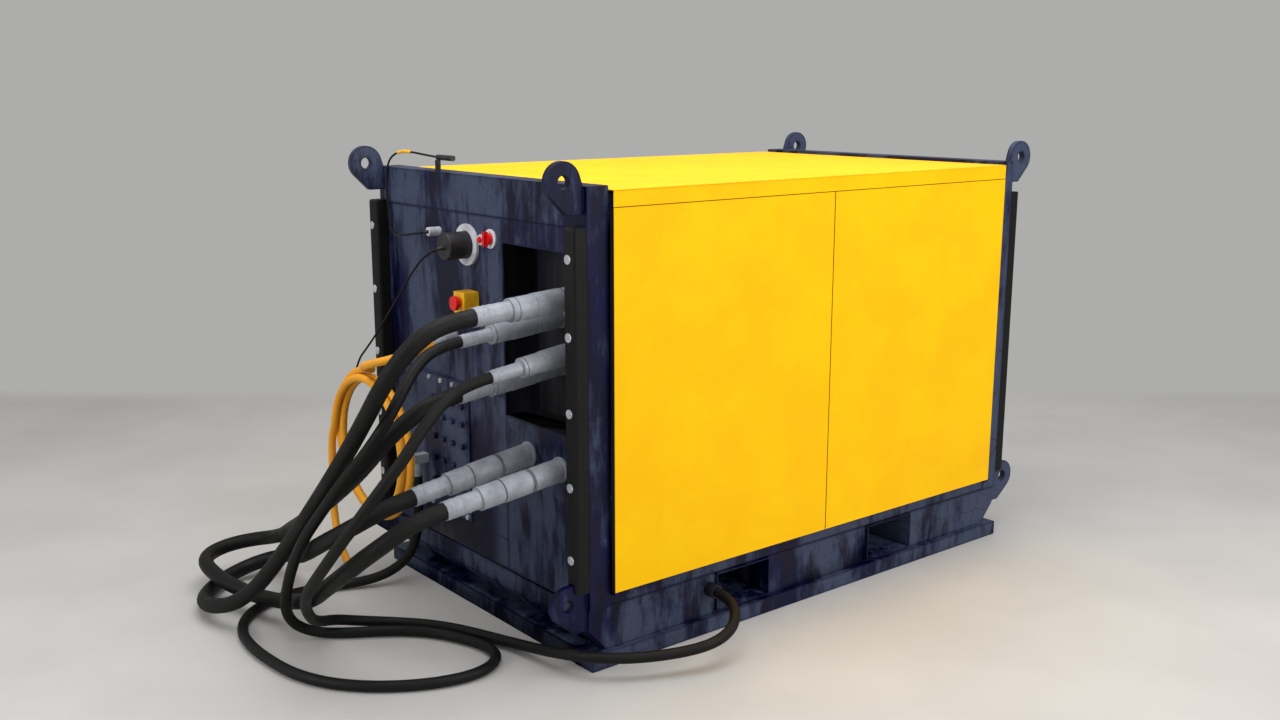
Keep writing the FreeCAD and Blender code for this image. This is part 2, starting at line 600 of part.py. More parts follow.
# ------------------------------------------------------------ hoses and cables
# Each route is a hand-chosen list of points; a tube is straight runs joined by
# tangent arcs.
ROUTES = {
    "hose_1": ("big_hose", (
        (-1668, -614, 1433), (-1800, -614, 1425), (-1925, -598, 1350), (-1990, -525, 1220),
        (-2012, -395, 1050), (-2028, -235, 870), (-2048, -65, 690), (-2072, 105, 510),
        (-2110, 260, 335), (-2165, 380, 190), (-2225, 480, 110), (-2270, 600, 75),
        (-2258, 735, 52), (-2195, 850, 42), (-2100, 945, 42), (-1990, 1000, 50),
        (-1885, 1000, 70), (-1805, 940, 95), (-1780, 840, 125), (-1800, 735, 160),
        (-1850, 630, 200), (-1905, 520, 245), (-1958, 395, 295), (-2010, 255, 345),
        (-2045, 110, 405), (-2070, -25, 470), (-2085, -155, 535), (-2065, -275, 602),
        (-2005, -360, 665), (-1920, -395, 711), (-1822, -395, 725))),
    "hose_2": ("big_hose", (
        (-1610, -395, 1095), (-1725, -395, 1081), (-1830, -375, 1020), (-1885, -280, 915),
        (-1895, -120, 780), (-1895, 90, 640), (-1890, 320, 500), (-1878, 515, 392),
        (-1845, 705, 305), (-1820, 865, 225), (-1815, 1004, 172), (-1859, 1081, 152),
        (-1936, 1125, 140), (-2024, 1125, 132), (-2101, 1081, 127), (-2145, 1004, 123),
        (-2155, 890, 118), (-2150, 770, 110), (-2120, 650, 98), (-2080, 530, 92),
        (-2045, 400, 105), (-2038, 250, 150), (-2055, 90, 210), (-2085, -65, 285),
        (-2115, -220, 375), (-2125, -375, 470), (-2100, -505, 570), (-2032, -590, 653),
        (-1932, -614, 712), (-1815, -614, 726))),
    "hose_3": ("small_hose", (
        (-1602, -614, 1200), (-1712, -616, 1186), (-1815, -625, 1135), (-1910, -640, 1055),
        (-1990, -645, 960), (-2070, -620, 860), (-2135, -570, 750), (-2185, -490, 630),
        (-2205, -370, 500), (-2195, -220, 375), (-2145, -90, 262), (-2080, 10, 165),
        (-2010, 90, 108), (-1920, 130, 80), (-1810, 130, 44), (-1690, 75, 24), (-1585, -35, 24),
        (-1505, -170, 24), (-1452, -310, 26), (-1418, -440, 34), (-1400, -560, 50),
        (-1390, -680, 72), (-1365, -790, 90), (-1310, -880, 95), (-1215, -950, 92),
        (-1110, -1005, 92), (-1010, -1050, 98), (-920, -1080, 108), (-835, -1085, 125),
        (-760, -1055, 145), (-700, -1000, 165), (-665, -922, 185), (-659, -840, 187))),
    "hose_4": ("small_hose", (
        (-1595, -395, 1301), (-1700, -395, 1291), (-1800, -415, 1235), (-1882, -448, 1150),
        (-1952, -450, 1045), (-2012, -400, 935), (-2065, -310, 815), (-2102, -200, 680),
        (-2130, -80, 545), (-2142, 20, 405), (-2135, 110, 270), (-2118, 180, 160),
        (-2075, 200, 75), (-1995, 165, 30), (-1895, 95, 24), (-1790, 35, 24), (-1680, -45, 24),
        (-1595, -145, 24), (-1540, -260, 24), (-1505, -375, 24), (-1515, -480, 24),
        (-1585, -550, 24), (-1690, -575, 24), (-1815, -550, 24), (-1940, -490, 24),
        (-2060, -400, 24), (-2160, -280, 24), (-2225, -130, 24), (-2250, 50, 24),
        (-2255, 220, 24), (-2230, 385, 24), (-2150, 525, 24), (-2030, 610, 24),
        (-1890, 640, 24), (-1750, 620, 24), (-1620, 570, 26), (-1500, 515, 50),
        (-1405, 475, 110), (-1360, 455, 200), (-1345, 445, 300), (-1345, 440, 410),
        (-1345, 440, 520))),
    "yellow_hose": ("yellow_hose", (
        (-1400, 160, 1178), (-1470, 160, 1161), (-1545, 175, 1143), (-1605, 215, 1125),
        (-1635, 280, 1105), (-1630, 355, 1082), (-1595, 425, 1058), (-1550, 478, 1038),
        (-1505, 515, 1024))),
    "yellow_tail": ("yellow_hose", (
        (-1500, 945, 618), (-1510, 960, 500), (-1520, 960, 380), (-1530, 940, 260),
        (-1540, 890, 155), (-1548, 815, 75), (-1553, 725, 28), (-1555, 640, 20))),
    "control_cable": ("thin_cable", (
        (-1406, 35, 1605), (-1440, 36, 1600), (-1472, 58, 1580), (-1486, 105, 1540),
        (-1484, 170, 1490), (-1478, 250, 1425), (-1473, 330, 1359), (-1472, 410, 1288),
        (-1476, 485, 1215), (-1484, 550, 1150), (-1493, 607, 1095), (-1498, 660, 1050),
        (-1500, 702, 1007))),
    "beacon_cable": ("thin_cable", (
        (-1342, 275, 1646), (-1368, 276, 1644), (-1392, 292, 1640), (-1404, 330, 1634),
        (-1400, 395, 1625), (-1380, 470, 1616), (-1350, 560, 1610), (-1318, 645, 1622),
        (-1302, 695, 1680), (-1299, 711, 1770), (-1298, 710, 1870), (-1286, 698, 1940),
        (-1258, 645, 1972), (-1243, 555, 1968), (-1238, 452, 1960), (-1238, 350, 1955))),
}


def tube(name, diameter, points):
    """A round tube along straight runs joined by the largest tangent arcs."""
    points = [Vector(*point) for point in points]
    edges, radii, here = [], [], points[0]
    for before, at, after in zip(points, points[1:], points[2:]):
        back, ahead = before - at, after - at
        reach = 0.45 * min(back.Length, ahead.Length)
        turn = math.pi - back.getAngle(ahead)
        radius = reach / math.tan(turn / 2)
        back.normalize()
        ahead.normalize()
        start, end = at + back * reach, at + ahead * reach
        middle = (back + ahead).normalize()
        bow = at + middle * (radius / math.cos(turn / 2) - radius)
        edges.append(Part.LineSegment(here, start).toShape())
        edges.append(Part.Arc(start, bow, end).toShape())
        radii.append(round(radius))
        here = end
    edges.append(Part.LineSegment(here, points[-1]).toShape())
    wire = Part.Wire(edges)
    first = edges[0]
    circle = Part.Circle(points[0], first.tangentAt(first.FirstParameter), diameter / 2)
    profile = Part.Wire([circle.toShape()])
    shape = wire.makePipeShell([profile], True, False)
    ideal = math.pi * diameter ** 2 / 4 * wire.Length
    if abs(shape.Volume - ideal) > 0.02 * ideal:
        raise RuntimeError(f"{name}: tube volume {shape.Volume:.0f}, expected {ideal:.0f}")
    print(f"{name}: length {wire.Length:.0f} mm, radii {radii}")
    return shape


def cords():
    tubes = {name: shaped(tube(name, size(bore), points))
             for name, (bore, points) in ROUTES.items()}
    yellow = [tubes.pop("yellow_hose"), tubes.pop("yellow_tail")]
    node("yellow_hose", *yellow)
    for name, whole in tubes.items():
        node(name, whole)


def yellow_coil():
    """Outer shape of the coiled yellow hose, hung flat beside the end frame."""
    radius, half = size("coil_radius"), size("coil_half_width")
    centre = Vector(size("coil_x") - half, size("coil_y"), size("coil_z"))
    outer = Part.makeCylinder(radius + half, 2 * half, centre, Vector(1, 0, 0))
    inner = Part.makeCylinder(radius - half, 2 * half, centre, Vector(1, 0, 0))
    node("yellow_coil", shaped(outer.cut(inner)))


# ------------------------------------------------------------ the power pack
def motor():
    """Electric motor lying along X: ribbed housing, two end shields, terminal box."""
    ends = size("motor_half_length")
    x, y, z = size("motor_x"), size("motor_y"), size("motor_z")
    radius = size("motor_radius")
    way = Vector(1, 0, 0)
    start = Vector(x - ends, y, z)
    shell = turned(start, way, (0, 2 * ends, radius - 30), (0, 40, radius),
                   (2 * ends - 40, 2 * ends, radius))
    bore = Part.makeCylinder(size("shaft_bore"), 2 * ends + 2, start - way, way)
    hollow = Part.makeCylinder(radius - 70, 2 * ends - 80, start + way * 40, way)
    shell = shell.cut(hollow).cut(bore)
    housing = [shaped(shell)]
    for step in range(24):
        angle = 360 / 24 * step
        fin = Part.makeBox(2 * ends - 100, 5, 26, Vector(x - ends + 50, -2.5, radius - 31))
        fin.rotate(Vector(0, 0, 0), way, angle)
        fin.translate(Vector(0, y, z))
        housing.append(shaped(fin))
    housing.append(box("motor_x - 70", "motor_x + 70", "motor_y - 60", "motor_y + 60",
                       "motor_z + motor_radius", "motor_z + motor_radius + 80"))
    rotor = turned(start - way * 90, way, (0, 2 * ends + 190, size("shaft_radius")),
                   (150, 2 * ends + 30, radius - 80))
    fan = turned(start + way * (2 * ends + 30), way, (0, 40, radius - 60))
    node("motor_rotor", shaped(rotor.fuse(fan)))
    for side in (0, 1):
        housing.append(box(f"motor_x - {200 - 320 * side}", f"motor_x - {120 - 320 * side}",
                           "motor_y - 200", "motor_y + 200", "beam_top + deck_thick",
                           "motor_z - motor_radius"))
    cowl = turned(start + way * (2 * ends), way, (0, 110, radius))
    inside = Part.makeCylinder(radius - 8, 102, start + way * (2 * ends), way)
    housing.append(shaped(cowl.cut(inside)))
    node("motor_housing", *housing)


def pump_group():
    """Bellhousing and the axial piston pump that the motor drives."""
    x = size("motor_x") - size("motor_half_length")
    y, z = size("motor_y"), size("motor_z")
    way = Vector(-1, 0, 0)
    start = Vector(x, y, z)
    bell = turned(start, way, (0, 24, 180), (24, 180, 150), (180, 200, 120))
    bore = Part.makeCylinder(size("shaft_bore") + 60, 201, start, way)
    node("bellhousing", shaped(bell.cut(bore)))
    pump_start = start + way * 200
    body = turned(pump_start, way, (0, 20, 112), (20, 200, 92), (200, 260, 100))
    node("hydraulic_pump", shaped(body))


def oil_side():
    """Tank with its filler cap and return filter."""
    low, high = "tank_low_x", "tank_high_x"
    tank = box(low, high, "-tank_half_y", "tank_half_y", "beam_top + deck_thick", "tank_high_z")
    inside = box("tank_low_x + tank_wall", "tank_high_x - tank_wall",
                 "-tank_half_y + tank_wall", "tank_half_y - tank_wall",
                 "beam_top + deck_thick + tank_wall", "tank_high_z - tank_wall")
    node("oil_tank", cut(tank, inside))
    node("filler_cap", rod("38", "46", "cap_x", "cap_y", "tank_high_z"))
    node("return_filter", fuse(rod("62", "150", "cap_x", "filter_y", "tank_high_z"),
                               rod("80", "24", "cap_x", "filter_y", "tank_high_z + 150")))


def cooler():
    """Oil cooler core, its shroud and seven-bladed fan."""
    x, z = size("cooler_x"), size("cooler_z")
    half = size("cooler_half")
    core = Part.makeBox(70, 2 * half, 2 * half, Vector(x + 30, -half, z - half))
    node("oil_cooler", shaped(core))
    shroud = Part.makeBox(90, 2 * half, 2 * half, Vector(x - 60, -half, z - half))
    way = Vector(1, 0, 0)
    throat = Part.makeCylinder(size("fan_radius") + 12, 91, Vector(x - 60.5, 0, z), way)
    arm = Part.makeBox(10, 2 * half, 40, Vector(x - 76, -half, z - 20))
    hub_bore = Part.makeCylinder(12.05, 40, Vector(x - 80, 0, z), way)
    node("fan_shroud", shaped(shroud.cut(throat)), shaped(arm.cut(hub_bore)))
    hub = turned(Vector(x - 90, 0, z), way, (0, 60, 12), (32, 60, 55))
    blades = []
    blade_count = 7
    blade_pitch = 28
    for step in range(blade_count):
        blade = Part.makeBox(5, 60, size("fan_radius") - 50, Vector(-2.5, -30, 50))
        blade.rotate(Vector(0, 0, 0), Vector(0, 0, 1), blade_pitch)
        blade.rotate(Vector(0, 0, 0), way, 360 / blade_count * step)
        blade.translate(Vector(x - 45, 0, z))
        blades.append(blade)
    node("cooler_fan", shaped(hub.fuse(blades)))


def valve_group():
    """Valve block on a stand, with its hand lever, above the pump."""
    pivot = ("valve_x", "valve_y")
    block = ("valve_x - valve_half_length", "valve_x + valve_half_length",
             "valve_y - valve_half_width", "valve_y + valve_half_width")
    boss = rod("20", "20", *pivot, "valve_top")
    bore = rod("lever_bore", "30", *pivot, "valve_top - 5")
    node("valve_manifold", box(*block, "valve_low", "valve_top"),
         box(*block, "beam_top + deck_thick", "beam_top + 20"),
         box("valve_x - 30", "valve_x + 30", "valve_y - 30", "valve_y + 30",
             "beam_top + 20", "valve_low"), cut(boss, bore))
    lever = fuse(rod("lever_radius", "40", *pivot, "valve_top + 0.5"),
                 rod("17", "14", *pivot, "valve_top + 21"),
                 box("valve_x", "valve_x + lever_length", "valve_y - 8", "valve_y + 8",
                     "valve_top + 22", "valve_top + 32"),
                 rod("13", "60", "valve_x + lever_length", "valve_y", "valve_top + 27", "+X"))
    node("valve_lever", lever)


def control_cabinet():
    """Electrical cabinet on two legs."""
    shell = box("cabinet_x - cabinet_half_x", "cabinet_x + cabinet_half_x",
                "cabinet_y - cabinet_half_y", "cabinet_y + cabinet_half_y",
                "cabinet_low", "cabinet_high")
    legs = [box(f"cabinet_x + {middle} - 10", f"cabinet_x + {middle} + 10", "cabinet_y - 20",
                "cabinet_y + 20", "beam_top + deck_thick", "cabinet_low")
            for middle in (-80, 80)]
    node("control_cabinet", shell, *legs)


skid_frame()
base_beams()
fork_pockets()
deck_plate()
corner_posts()
end_beams()
side_rails()
padeyes()
corner_fenders()
connection_end()
manifold_fittings()
rear_end_panel()
roof_lid()
doors()
door_pivots()
panel_controls()
couplings()
cords()
yellow_coil()
motor()
pump_group()
oil_side()
cooler()
valve_group()
control_cabinet()
doc.recompute()

# ------------------------------------------------------------ check and write
for item in doc.Objects:
    if "Invalid" in item.State or "Error" in item.State:
        raise RuntimeError(f"{item.Label} failed: {item.State}")
for piece in NODES:
    if piece.Shape.isNull() or not piece.Shape.isValid():
        raise RuntimeError(f"{piece.Label} has no valid shape")
    piece.Shape.exportStep(f"parts/{piece.Label}.step")
    box_now = piece.Shape.BoundBox
    print(f"{piece.Label}: {len(piece.Shape.Solids)} solids, x {box_now.XMin:.0f}..{box_now.XMax:.0f},"
          f" y {box_now.YMin:.0f}..{box_now.YMax:.0f}, z {box_now.ZMin:.0f}..{box_now.ZMax:.0f}")
print(len(NODES), "sub-parts")
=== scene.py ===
"""The looks of a hydraulic power unit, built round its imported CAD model.

Metres, +Z up, the hose connection end at -X and the front doors at -Y.
"""
import itertools
import json
import math

import bmesh
import bpy
from mathutils import Matrix, Vector

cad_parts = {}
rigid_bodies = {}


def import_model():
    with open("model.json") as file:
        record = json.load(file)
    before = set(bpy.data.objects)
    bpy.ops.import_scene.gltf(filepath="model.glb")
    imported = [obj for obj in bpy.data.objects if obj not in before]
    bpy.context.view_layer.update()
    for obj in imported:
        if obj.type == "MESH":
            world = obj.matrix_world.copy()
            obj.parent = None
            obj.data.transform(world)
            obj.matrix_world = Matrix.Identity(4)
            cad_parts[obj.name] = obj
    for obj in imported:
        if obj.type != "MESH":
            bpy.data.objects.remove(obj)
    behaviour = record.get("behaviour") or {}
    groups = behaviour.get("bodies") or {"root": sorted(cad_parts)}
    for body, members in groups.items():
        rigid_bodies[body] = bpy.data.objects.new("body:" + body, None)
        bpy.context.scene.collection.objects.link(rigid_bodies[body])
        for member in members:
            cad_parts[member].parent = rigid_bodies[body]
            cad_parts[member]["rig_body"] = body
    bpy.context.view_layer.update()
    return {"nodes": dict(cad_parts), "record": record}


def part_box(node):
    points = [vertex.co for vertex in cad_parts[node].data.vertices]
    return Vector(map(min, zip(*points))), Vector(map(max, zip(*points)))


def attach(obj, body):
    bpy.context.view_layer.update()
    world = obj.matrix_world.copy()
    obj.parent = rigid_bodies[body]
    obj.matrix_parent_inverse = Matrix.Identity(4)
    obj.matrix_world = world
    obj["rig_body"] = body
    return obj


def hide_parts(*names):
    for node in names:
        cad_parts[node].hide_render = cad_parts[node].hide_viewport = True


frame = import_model()
nodes = frame["nodes"]
slot_of = {part["node"]: part["material_slot"] for part in frame["record"]["subparts"]}
scene = bpy.context.scene

MM = 0.001
BIG_HOSE = 0.066
SMALL_HOSE = 0.044
YELLOW_HOSE = 0.036
THIN_CABLE = 0.009


# ---- camera ----

CAMERA_PLACE = (-4.0734, -4.5772, 2.2578)
CAMERA_HEADING = -38.770  # degrees about Z, from looking along +Y
CAMERA_DIP = 12.054  # degrees below level
CAMERA_LENS = 36.15  # mm, on a sensor 36 mm wide


def make_camera():
    """A camera with no roll, off the front corner of the connection end."""
    data = bpy.data.cameras.new("camera")
    data.lens = CAMERA_LENS
    data.sensor_width = 36.0
    data.clip_end = 100.0
    made = bpy.data.objects.new("camera", data)
    made.location = CAMERA_PLACE
    made.rotation_euler = (math.radians(90 - CAMERA_DIP), 0.0, math.radians(CAMERA_HEADING))
    scene.collection.objects.link(made)
    scene.camera = made


make_camera()


# ---- materials ----

class Finish:
    """One material, whose nodes are added one at a time."""

    def __init__(self, name):
        self.material = bpy.data.materials.new(name)
        self.material.use_nodes = True
        self.tree = self.material.node_tree
        self.shader = self.tree.nodes["Principled BSDF"]
        self.place = self.add("TexCoord").outputs["Object"]

    def add(self, kind, inputs=(), **settings):
        """A node, with its settings, whose inputs are numbers, colours or other nodes' outputs."""
        made = self.tree.nodes.new("ShaderNode" + kind)
        for key, value in settings.items():
            setattr(made, key, value)
        for key, value in dict(inputs).items():
            self.feed(made.inputs[key], value)
        return made

    def feed(self, socket, value):
        """Links an output to a socket, or sets the socket to a constant."""
        if isinstance(value, bpy.types.NodeSocket):
            self.tree.links.new(value, socket)
        else:
            socket.default_value = value

    def noise(self, scale, detail=4.0, stretch=(1, 1, 1), roughness=0.55, twist=0.0):
        """Noise whose grain is longer where stretch is smaller."""
        placed = self.add("Mapping", {"Vector": self.place, "Scale": stretch})
        made = self.add("TexNoise", {"Vector": placed.outputs[0], "Scale": scale, "Detail": detail,
                                     "Roughness": roughness, "Distortion": twist})
        return made.outputs[0]

    def math(self, operation, a, b):
        """The two values put together by one arithmetic operation."""
        return self.add("Math", {0: a, 1: b}, operation=operation).outputs[0]

    def steps(self, value, low, high, out_low=0.0, out_high=1.0):
        """Takes low..high to out_low..out_high, smoothly."""
        made = self.add("MapRange", {"Value": value, "From Min": low, "From Max": high,
                                     "To Min": out_low, "To Max": out_high},
                        interpolation_type="SMOOTHSTEP")
        return made.outputs[0]

    def mix(self, share, a, b):
        """Colour a where share is 0, and colour b where it is 1."""
        made = self.add("Mix", data_type="RGBA")
        self.feed(made.inputs[0], share)
        self.feed(made.inputs[6], a)
        self.feed(made.inputs[7], b)
        return made.outputs[2]

    def bump(self, height, strength, distance):
        """Roughens the surface without moving it."""
        made = self.add("Bump", {"Height": height, "Strength": strength, "Distance": distance})
        self.feed(self.shader.inputs["Normal"], made.outputs[0])

    def set(self, **values):
        """Feeds the shader's sockets, named with underscores for spaces."""
        for key, value in values.items():
            self.feed(self.shader.inputs[key.replace("_", " ")], value)


def colour(red, green, blue):
    """A display colour, 0 to 255 a channel, as the linear one that a shader takes."""
    return (*((c / 255) ** 2.2 for c in (red, green, blue)), 1.0)


def away_from_edges(finish, radius):
    """1 in the middle of a face, falling towards 0 within radius of its edges."""
    turning = 0.80
    flat = 0.995
    rounded = finish.add("Bevel", {"Radius": radius}, samples=6)
    surface = finish.add("NewGeometry")
    agree = finish.add("VectorMath", {0: rounded.outputs[0], 1: surface.outputs["Normal"]},
                       operation="DOT_PRODUCT")
    return finish.steps(agree.outputs["Value"], turning, flat)


def navy_paint():
    """Dark navy paint, chalked to slate in the middle of its faces and brushed with dirt; by its
    edges and corners it stays dark navy as a painted shade.
    """
    f = Finish("navy_paint")
    middle = away_from_edges(f, 22 * MM)
    patches = f.noise(2.3, 5.0, (1, 1, 0.55), 0.6, 0.4)
    brushed = f.noise(16.0, 8.0, (1, 1, 0.22), 0.7)
    speckle = f.noise(75.0, 4.0)
    blend = f.math("ADD", f.math("MULTIPLY", patches, 0.62), f.math("MULTIPLY", brushed, 0.38))
    # The chalk wear is kept off the edges and corners, which stay dark navy: painted shade.
    chalk = f.math("MULTIPLY", f.steps(blend, 0.43, 0.54), middle)
    tone = f.steps(speckle, 0.3, 0.7, 0.7, 1.0)
    slate = f.mix(tone, colour(30, 36, 58), colour(66, 74, 96))
    deep = f.mix(f.steps(brushed, 0.35, 0.65), colour(1, 2, 32), colour(4, 9, 58))
    painted = f.mix(chalk, deep, slate)
    cells = f.add("TexVoronoi", {"Vector": f.place, "Scale": 2.1}, feature="DISTANCE_TO_EDGE")
    crack = f.math("MULTIPLY", f.steps(cells.outputs["Distance"], 0.004, 0.0015),
                   f.steps(patches, 0.47, 0.56))
    f.set(Base_Color=f.mix(f.math("MULTIPLY", crack, 0.8), painted, colour(2, 3, 22)),
          Roughness=f.steps(blend, 0.4, 0.6, 0.42, 0.66), Specular_IOR_Level=0.22)
    f.bump(f.math("SUBTRACT", brushed, crack), 0.25, 1.2 * MM)
    return f.material


def painted_shade():
    """Painted shade: dull dark paint for the enclosure's recess, gaps and undersides, streaked down
    its height.
    """
    f = Finish("painted_shade")
    streaks = f.noise(22.0, 6.0, (1, 1, 0.08), 0.65)
    clouds = f.noise(3.0, 4.0)
    shade = f.mix(f.steps(streaks, 0.35, 0.7), colour(1, 2, 14), colour(8, 11, 40))
    f.set(Base_Color=f.mix(f.steps(clouds, 0.5, 0.7, 0.0, 0.5), shade, colour(3, 3, 10)),
          Roughness=f.steps(streaks, 0.3, 0.7, 0.5, 0.75))
    f.bump(streaks, 0.15, 0.8 * MM)
    return f.material


def yellow_paint():
    """Semi-gloss yellow sheet paint with faint mottling and painted shade by its edges."""
    f = Finish("yellow_paint")
    clouds = f.noise(3.4, 5.0, (1, 1, 1), 0.6)
    grain = f.noise(260.0, 3.0)
    smear = f.noise(9.0, 7.0, (1, 1, 0.3), 0.65)
    base = f.mix(f.steps(clouds, 0.35, 0.65), colour(253, 190, 0), colour(255, 198, 0))
    worn = f.mix(f.math("MULTIPLY", f.steps(smear, 0.60, 0.75), 0.18), base, colour(255, 208, 24))
    # Painted shade: darker orange within 6 mm of the edges.
    edge = f.math("SUBTRACT", 1.0, away_from_edges(f, 6 * MM))
    f.set(Base_Color=f.mix(f.math("MULTIPLY", edge, 0.55), worn, colour(205, 130, 6)),
          Roughness=f.steps(smear, 0.3, 0.7, 0.46, 0.60), Specular_IOR_Level=0.12)
    f.bump(grain, 0.08, 0.6 * MM)
    return f.material


def metal(name, dark, light, roughness, metallic, grain_scale=120.0):
    """Painted, plated, machined or cast metal with a fine grain and stains."""
    f = Finish(name)
    grain = f.noise(grain_scale, 5.0, (1, 1, 1), 0.6)
    stain = f.noise(11.0, 6.0, (1, 1, 1), 0.65)
    shade = f.mix(f.steps(stain, 0.40, 0.72), light, dark)
    f.set(Base_Color=f.mix(f.steps(grain, 0.3, 0.7, 0.0, 0.35), shade, dark), Metallic=metallic,
          Roughness=f.steps(stain, 0.35, 0.7, roughness, roughness + 0.18))
    f.bump(grain, 0.15, 0.4 * MM)
    return f.material


def plastic(name, dark, light, roughness):
    """Moulded plastic: a fine texture, hand grime and slight fading."""
    f = Finish(name)
    grain = f.noise(320.0, 3.0)
    grime = f.noise(18.0, 6.0, (1, 1, 1), 0.62)
    f.set(Base_Color=f.mix(f.steps(grime, 0.42, 0.7), light, dark),
          Roughness=f.steps(grime, 0.35, 0.7, roughness, roughness + 0.15))
    f.bump(grain, 0.12, 0.3 * MM)
    return f.material


def rubber(name, dark, light, wrap_scale):
    """Rubber with dust, scuffs and a cloth-wrapped skin."""
    f = Finish(name)
    dust = f.noise(7.0, 7.0, (1, 1, 1), 0.68)
    wrap = f.noise(wrap_scale, 4.0, (1, 1, 1), 0.6)
    scuffs = f.noise(42.0, 6.0, (1, 1, 0.35), 0.7)
    dusty = f.math("MULTIPLY", f.steps(dust, 0.45, 0.72), 0.5)
    rubbed = f.math("MULTIPLY", f.steps(scuffs, 0.60, 0.78), 0.3)
    f.set(Base_Color=f.mix(f.math("MAXIMUM", dusty, rubbed), dark, light),
          Roughness=f.steps(dust, 0.35, 0.7, 0.52, 0.74), Specular_IOR_Level=0.25)
    f.bump(wrap, 0.35, 0.6 * MM)
    return f.material


materials = {
    "navy_paint": navy_paint(),
    # painted shade for the recess, the door gaps and the undersides
    "painted_shade": painted_shade(),
    "yellow_paint": yellow_paint(),
    "grey_coupling": metal("grey_coupling", colour(128, 131, 140), colour(160, 164, 173), 0.42, 0.10),
    "black_rubber": rubber("black_rubber", colour(10, 10, 10), colour(26, 26, 26), 240.0),
    "hose_rubber": rubber("hose_rubber", colour(11, 11, 10), colour(29, 29, 26), 330.0),
    "yellow_rubber": rubber("yellow_rubber", colour(232, 158, 40), colour(205, 150, 70), 330.0),
    "zinc_steel": metal("zinc_steel", colour(150, 154, 160), colour(214, 218, 224), 0.32, 0.6),
    "machine_steel": metal("machine_steel", colour(110, 112, 118), colour(170, 173, 178), 0.34, 0.9),
    "cast_grey": metal("cast_grey", colour(58, 62, 66), colour(98, 103, 108), 0.55, 0.3, 60.0),
    "motor_paint": metal("motor_paint", colour(22, 40, 80), colour(36, 62, 112), 0.36, 0.1, 80.0),
    "aluminium": metal("aluminium", colour(140, 143, 147), colour(196, 199, 203), 0.36, 0.85),
    "black_plastic": plastic("black_plastic", colour(15, 15, 17), colour(34, 34, 37), 0.42),
    "red_plastic": plastic("red_plastic", colour(170, 10, 10), colour(226, 22, 20), 0.28),
    "white_plastic": plastic("white_plastic", colour(176, 178, 184), colour(214, 217, 224), 0.34),
    "yellow_plastic": plastic("yellow_plastic", colour(214, 148, 14), colour(247, 190, 32), 0.32),
}


# ---- cords ----

def cord_curve(name, diameter, points, slot):
    """A round hose or cable; the route's points are its spline's control points."""
    data = bpy.data.curves.new(name, "CURVE")
    data.dimensions = "3D"
    data.bevel_depth = diameter / 2
    data.bevel_resolution = 7
    data.resolution_u = 14
    data.use_fill_caps = True
    data.materials.append(materials[slot])
    spline = data.splines.new("NURBS")
    spline.points.add(len(points) - 1)
    for target, point in zip(spline.points, points):
        target.co = (*point, 1.0)
    spline.order_u = 3
    spline.use_endpoint_u = True
    made = bpy.data.objects.new(name, data)
    scene.collection.objects.link(made)
    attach(made, "frame")
    return made


# The CAD's route points, in metres.

HOSE_1 = (
    (-1.668, -0.614, 1.433), (-1.800, -0.614, 1.425), (-1.925, -0.598, 1.350),
    (-1.990, -0.525, 1.220), (-2.012, -0.395, 1.050), (-2.028, -0.235, 0.870),
    (-2.048, -0.065, 0.690), (-2.072, 0.105, 0.510), (-2.110, 0.260, 0.335),
    (-2.165, 0.380, 0.190), (-2.225, 0.480, 0.110), (-2.270, 0.600, 0.075),
    (-2.258, 0.735, 0.052), (-2.195, 0.850, 0.042), (-2.100, 0.945, 0.042),
    (-1.990, 1.000, 0.050), (-1.885, 1.000, 0.070), (-1.805, 0.940, 0.095),
    (-1.780, 0.840, 0.125), (-1.800, 0.735, 0.160), (-1.850, 0.630, 0.200),
    (-1.905, 0.520, 0.245), (-1.958, 0.395, 0.295), (-2.010, 0.255, 0.345),
    (-2.045, 0.110, 0.405), (-2.070, -0.025, 0.470), (-2.085, -0.155, 0.535),
    (-2.065, -0.275, 0.602), (-2.005, -0.360, 0.665), (-1.920, -0.395, 0.711),
    (-1.822, -0.395, 0.725))
HOSE_2 = (
    (-1.610, -0.395, 1.095), (-1.725, -0.395, 1.081), (-1.830, -0.375, 1.020),
    (-1.885, -0.280, 0.915), (-1.895, -0.120, 0.780), (-1.895, 0.090, 0.640),
    (-1.890, 0.320, 0.500), (-1.878, 0.515, 0.392), (-1.845, 0.705, 0.305),
    (-1.820, 0.865, 0.225), (-1.815, 1.004, 0.172), (-1.859, 1.081, 0.152),
    (-1.936, 1.125, 0.140), (-2.024, 1.125, 0.132), (-2.101, 1.081, 0.127),
    (-2.145, 1.004, 0.123), (-2.155, 0.890, 0.118), (-2.150, 0.770, 0.110),
    (-2.120, 0.650, 0.098), (-2.080, 0.530, 0.092), (-2.045, 0.400, 0.105),
    (-2.038, 0.250, 0.150), (-2.055, 0.090, 0.210), (-2.085, -0.065, 0.285),
    (-2.115, -0.220, 0.375), (-2.125, -0.375, 0.470), (-2.100, -0.505, 0.570),
    (-2.032, -0.590, 0.653), (-1.932, -0.614, 0.712), (-1.815, -0.614, 0.726))
